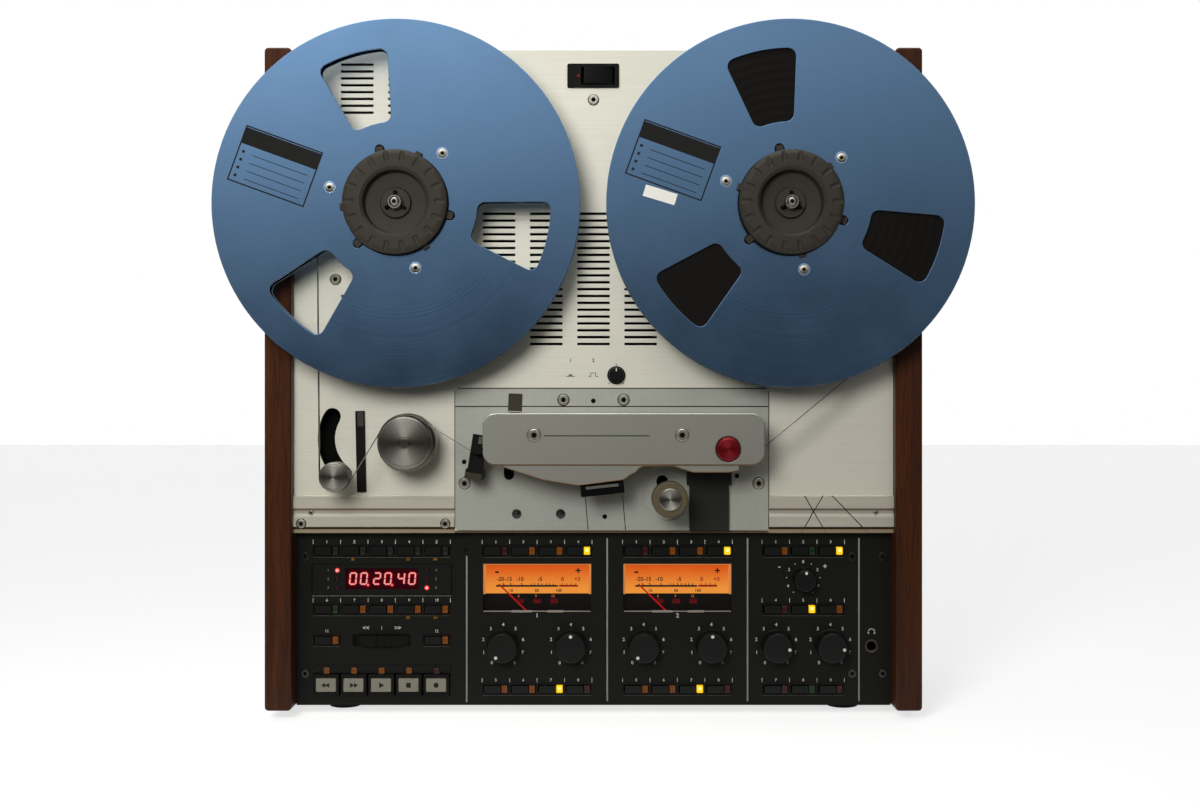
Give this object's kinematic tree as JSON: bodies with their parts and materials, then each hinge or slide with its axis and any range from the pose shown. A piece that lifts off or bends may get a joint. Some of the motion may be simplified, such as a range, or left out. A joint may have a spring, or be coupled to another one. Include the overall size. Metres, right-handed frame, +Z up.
{
  "type": "reel-to-reel tape recorder",
  "caption": "Open-reel studio tape recorder in wooden side boards, with two metal reels, a head block with pinch roller and capstan, level meters and a black control panel",
  "frame": {"origin": "under the middle of the machine, on the surface that it stands on", "axes": "+Z up, the front with the reels faces -Y, +X to the right seen from the front"},
  "size_m": [0.5522, 0.279, 0.5155],
  "materials": {
    "walnut": "satin oiled veneer",
    "deck_alloy": "fine brushed, lacquered",
    "panel_black": "matte black, fine texture",
    "head_grey": "satin grey paint",
    "reel_blue": "blue anodised, spun",
    "adapter_grey": "moulded dark grey",
    "tape_brown": "wound magnetic tape",
    "bright_steel": "turned",
    "turned_alloy": "turned",
    "zinc_steel": "zinc plated sheet",
    "cover_black": "black powder coat",
    "black_plastic": "moulded black",
    "cap_grey": "moulded warm grey",
    "rubber": "moulded rubber",
    "roller_rubber": "ground rubber",
    "cue_red": "moulded red",
    "clear_window": "clear polished",
    "meter_orange": "printed dial",
    "lamp_amber": "coloured lens",
    "brass": "turned",
    "card_green": "circuit laminate",
    "motor_grey": "cast and painted",
    "core_steel": "laminated core, varnished"
  },
  "bodies": {
    "cabinet": {"side_panel_left": "walnut", "side_panel_right": "walnut", "chassis": "zinc_steel", "rear_cover": "cover_black", "feet": "rubber", "deck_plate": "deck_alloy", "splicing_rails": "deck_alloy", "head_block_plate": "head_grey", "head_cover": "head_grey", "tape_heads": "bright_steel", "tape_guides": "black_plastic", "front_screws": "bright_steel", "control_panel": "panel_black", "power_switch_bezel": "black_plastic", "panel_windows": "clear_window", "vu_meters": "meter_orange", "key_lamps": "lamp_amber", "phones_jack": "brass", "tape_spans": "tape_brown", "drive_motors": "motor_grey", "spindle_bearings": "brass", "power_transformer": "core_steel", "circuit_cards": "card_green", "rear_connectors": "black_plastic"},
    "supply": {"supply_turntable": "turned_alloy", "supply_reel": "reel_blue", "supply_hub_adapter": "adapter_grey"},
    "takeup": {"takeup_turntable": "turned_alloy", "takeup_reel": "reel_blue", "takeup_hub_adapter": "adapter_grey", "takeup_tape_pack": "tape_brown"},
    "tension_arm": {"tension_arm": "bright_steel"},
    "tension_roller": {"tension_roller": "turned_alloy"},
    "guide_roller": {"guide_roller": "turned_alloy"},
    "pinch_arm": {"pinch_arm": "bright_steel"},
    "pinch_roller": {"pinch_roller": "roller_rubber"},
    "capstan": {"capstan": "bright_steel"},
    "hum_shield": {"hum_shield": "bright_steel"},
    "cue_button": {"cue_button": "cue_red"},
    "power_rocker": {"power_rocker": "black_plastic"},
    "volume_knob": {"volume_knob": "black_plastic"},
    "mic_knob_1": {"mic_knob_1": "black_plastic"},
    "line_knob_1": {"line_knob_1": "black_plastic"},
    "mic_knob_2": {"mic_knob_2": "black_plastic"},
    "line_knob_2": {"line_knob_2": "black_plastic"},
    "repro_knob_1": {"repro_knob_1": "black_plastic"},
    "repro_knob_2": {"repro_knob_2": "black_plastic"},
    "deviation_knob": {"deviation_knob": "black_plastic"},
    "vu_needle_1": {"vu_needle_1": "black_plastic"},
    "vu_needle_2": {"vu_needle_2": "black_plastic"},
    "shuttle_wheel": {"shuttle_wheel": "black_plastic"},
    "rewind_key": {"rewind_key": "cap_grey"},
    "forward_key": {"forward_key": "cap_grey"},
    "play_key": {"play_key": "cap_grey"},
    "stop_key": {"stop_key": "cap_grey"},
    "record_key": {"record_key": "cap_grey"},
    "locator_keys": {"locator_keys": "black_plastic"},
    "channel_1_keys": {"channel_1_keys": "black_plastic"},
    "channel_2_keys": {"channel_2_keys": "black_plastic"},
    "output_keys": {"output_keys": "black_plastic"}
  },
  "joints": [
    {"name": "takeup_spin", "type": "hinge", "parent": "cabinet", "child": "takeup", "pos_m": [0.14275, -0.1237, 0.38215], "axis": [0, 1, 0], "continuous": true},
    {"name": "supply_spin", "type": "hinge", "parent": "cabinet", "child": "supply", "pos_m": [-0.14275, -0.1237, 0.38215], "axis": [0, 1, 0], "continuous": true},
    {"name": "tension_arm_swing", "type": "hinge", "parent": "cabinet", "child": "tension_arm", "pos_m": [-0.167, -0.0745, 0.2105], "axis": [0, 1, 0], "range_deg": [0, 82], "deforming": ["tape_spans"]},
    {"name": "tension_roller_spin", "type": "hinge", "parent": "tension_arm", "child": "tension_roller", "pos_m": [-0.1877, -0.1237, 0.18391], "axis": [0, 1, 0], "continuous": true},
    {"name": "guide_roller_spin", "type": "hinge", "parent": "cabinet", "child": "guide_roller", "pos_m": [-0.1364, -0.1237, 0.2084], "axis": [0, 1, 0], "continuous": true},
    {"name": "pinch_arm_swing", "type": "hinge", "parent": "cabinet", "child": "pinch_arm", "pos_m": [0.0916, -0.0745, 0.1867], "axis": [0, 1, 0], "range_deg": [0, 16]},
    {"name": "pinch_roller_spin", "type": "hinge", "parent": "pinch_arm", "child": "pinch_roller", "pos_m": [0.05555, -0.1237, 0.1677], "axis": [0, 1, 0], "continuous": true},
    {"name": "capstan_spin", "type": "hinge", "parent": "cabinet", "child": "capstan", "pos_m": [0.0515, -0.0855, 0.19673], "axis": [0, 1, 0], "continuous": true},
    {"name": "hum_shield_flip", "type": "hinge", "parent": "cabinet", "child": "hum_shield", "pos_m": [0.00655, -0.0945, 0.1745], "axis": [1, 0, 0], "range_deg": [0, 50]},
    {"name": "cue_press", "type": "slide", "parent": "cabinet", "child": "cue_button", "axis": [0, 1, 0], "range_m": [0, 0.003], "stiffness_N_per_m": 300},
    {"name": "power_rock", "type": "hinge", "parent": "cabinet", "child": "power_rocker", "pos_m": [0.0033, -0.0845, 0.48305], "axis": [0, 0, 1], "range_deg": [-14, 0]},
    {"name": "volume_turn", "type": "hinge", "parent": "cabinet", "child": "volume_knob", "pos_m": [0.0171, -0.0895, 0.2583], "axis": [0, 1, 0], "range_deg": [-135, 135]},
    {"name": "mic_1_turn", "type": "hinge", "parent": "cabinet", "child": "mic_knob_1", "pos_m": [-0.06845, -0.0855, 0.0537], "axis": [0, 1, 0], "range_deg": [0, 294]},
    {"name": "line_1_turn", "type": "hinge", "parent": "cabinet", "child": "line_knob_1", "pos_m": [-0.01715, -0.0855, 0.0537], "axis": [0, 1, 0], "range_deg": [-147, 147]},
    {"name": "mic_2_turn", "type": "hinge", "parent": "cabinet", "child": "mic_knob_2", "pos_m": [0.03795, -0.0855, 0.0537], "axis": [0, 1, 0], "range_deg": [0, 294]},
    {"name": "line_2_turn", "type": "hinge", "parent": "cabinet", "child": "line_knob_2", "pos_m": [0.08925, -0.0855, 0.0537], "axis": [0, 1, 0], "range_deg": [-147, 147]},
    {"name": "repro_1_turn", "type": "hinge", "parent": "cabinet", "child": "repro_knob_1", "pos_m": [0.1384, -0.0855, 0.0537], "axis": [0, 1, 0], "range_deg": [-245, 49]},
    {"name": "repro_2_turn", "type": "hinge", "parent": "cabinet", "child": "repro_knob_2", "pos_m": [0.1794, -0.0855, 0.0537], "axis": [0, 1, 0], "range_deg": [-245, 49]},
    {"name": "deviation_turn", "type": "hinge", "parent": "cabinet", "child": "deviation_knob", "pos_m": [0.1589, -0.0855, 0.1043], "axis": [0, 1, 0], "range_deg": [-145, 145]},
    {"name": "needle_1_swing", "type": "hinge", "parent": "cabinet", "child": "vu_needle_1", "pos_m": [-0.0428, -0.0685, 0.071], "axis": [0, 1, 0], "range_deg": [0, 92], "stiffness_Nm_per_rad": 0.001},
    {"name": "needle_2_swing", "type": "hinge", "parent": "cabinet", "child": "vu_needle_2", "pos_m": [0.0636, -0.0685, 0.071], "axis": [0, 1, 0], "range_deg": [0, 92], "stiffness_Nm_per_rad": 0.001},
    {"name": "shuttle_turn", "type": "hinge", "parent": "cabinet", "child": "shuttle_wheel", "pos_m": [-0.1605, -0.0535, 0.0578], "axis": [0, 0, 1], "range_deg": [-30, 30], "stiffness_Nm_per_rad": 0.05},
    {"name": "rewind_press", "type": "slide", "parent": "cabinet", "child": "rewind_key", "axis": [0, 1, 0], "range_m": [0, 0.003], "stiffness_N_per_m": 250},
    {"name": "forward_press", "type": "slide", "parent": "cabinet", "child": "forward_key", "axis": [0, 1, 0], "range_m": [0, 0.003], "stiffness_N_per_m": 250},
    {"name": "play_press", "type": "slide", "parent": "cabinet", "child": "play_key", "axis": [0, 1, 0], "range_m": [0, 0.003], "stiffness_N_per_m": 250},
    {"name": "stop_press", "type": "slide", "parent": "cabinet", "child": "stop_key", "axis": [0, 1, 0], "range_m": [0, 0.003], "stiffness_N_per_m": 250},
    {"name": "record_press", "type": "slide", "parent": "cabinet", "child": "record_key", "axis": [0, 1, 0], "range_m": [0, 0.003], "stiffness_N_per_m": 250},
    {"name": "locator_press", "type": "slide", "parent": "cabinet", "child": "locator_keys", "axis": [0, 1, 0], "range_m": [0, 0.0018], "stiffness_N_per_m": 400},
    {"name": "channel_1_press", "type": "slide", "parent": "cabinet", "child": "channel_1_keys", "axis": [0, 1, 0], "range_m": [0, 0.0018], "stiffness_N_per_m": 400},
    {"name": "channel_2_press", "type": "slide", "parent": "cabinet", "child": "channel_2_keys", "axis": [0, 1, 0], "range_m": [0, 0.0018], "stiffness_N_per_m": 400},
    {"name": "output_press", "type": "slide", "parent": "cabinet", "child": "output_keys", "axis": [0, 1, 0], "range_m": [0, 0.0018], "stiffness_N_per_m": 400}
  ],
  "couplings": [
    {"joint": "supply_spin", "follows": "takeup_spin", "ratio": 2.1594},
    {"joint": "guide_roller_spin", "follows": "takeup_spin", "ratio": -6.324},
    {"joint": "tension_roller_spin", "follows": "takeup_spin", "ratio": 11.477}
  ]
}
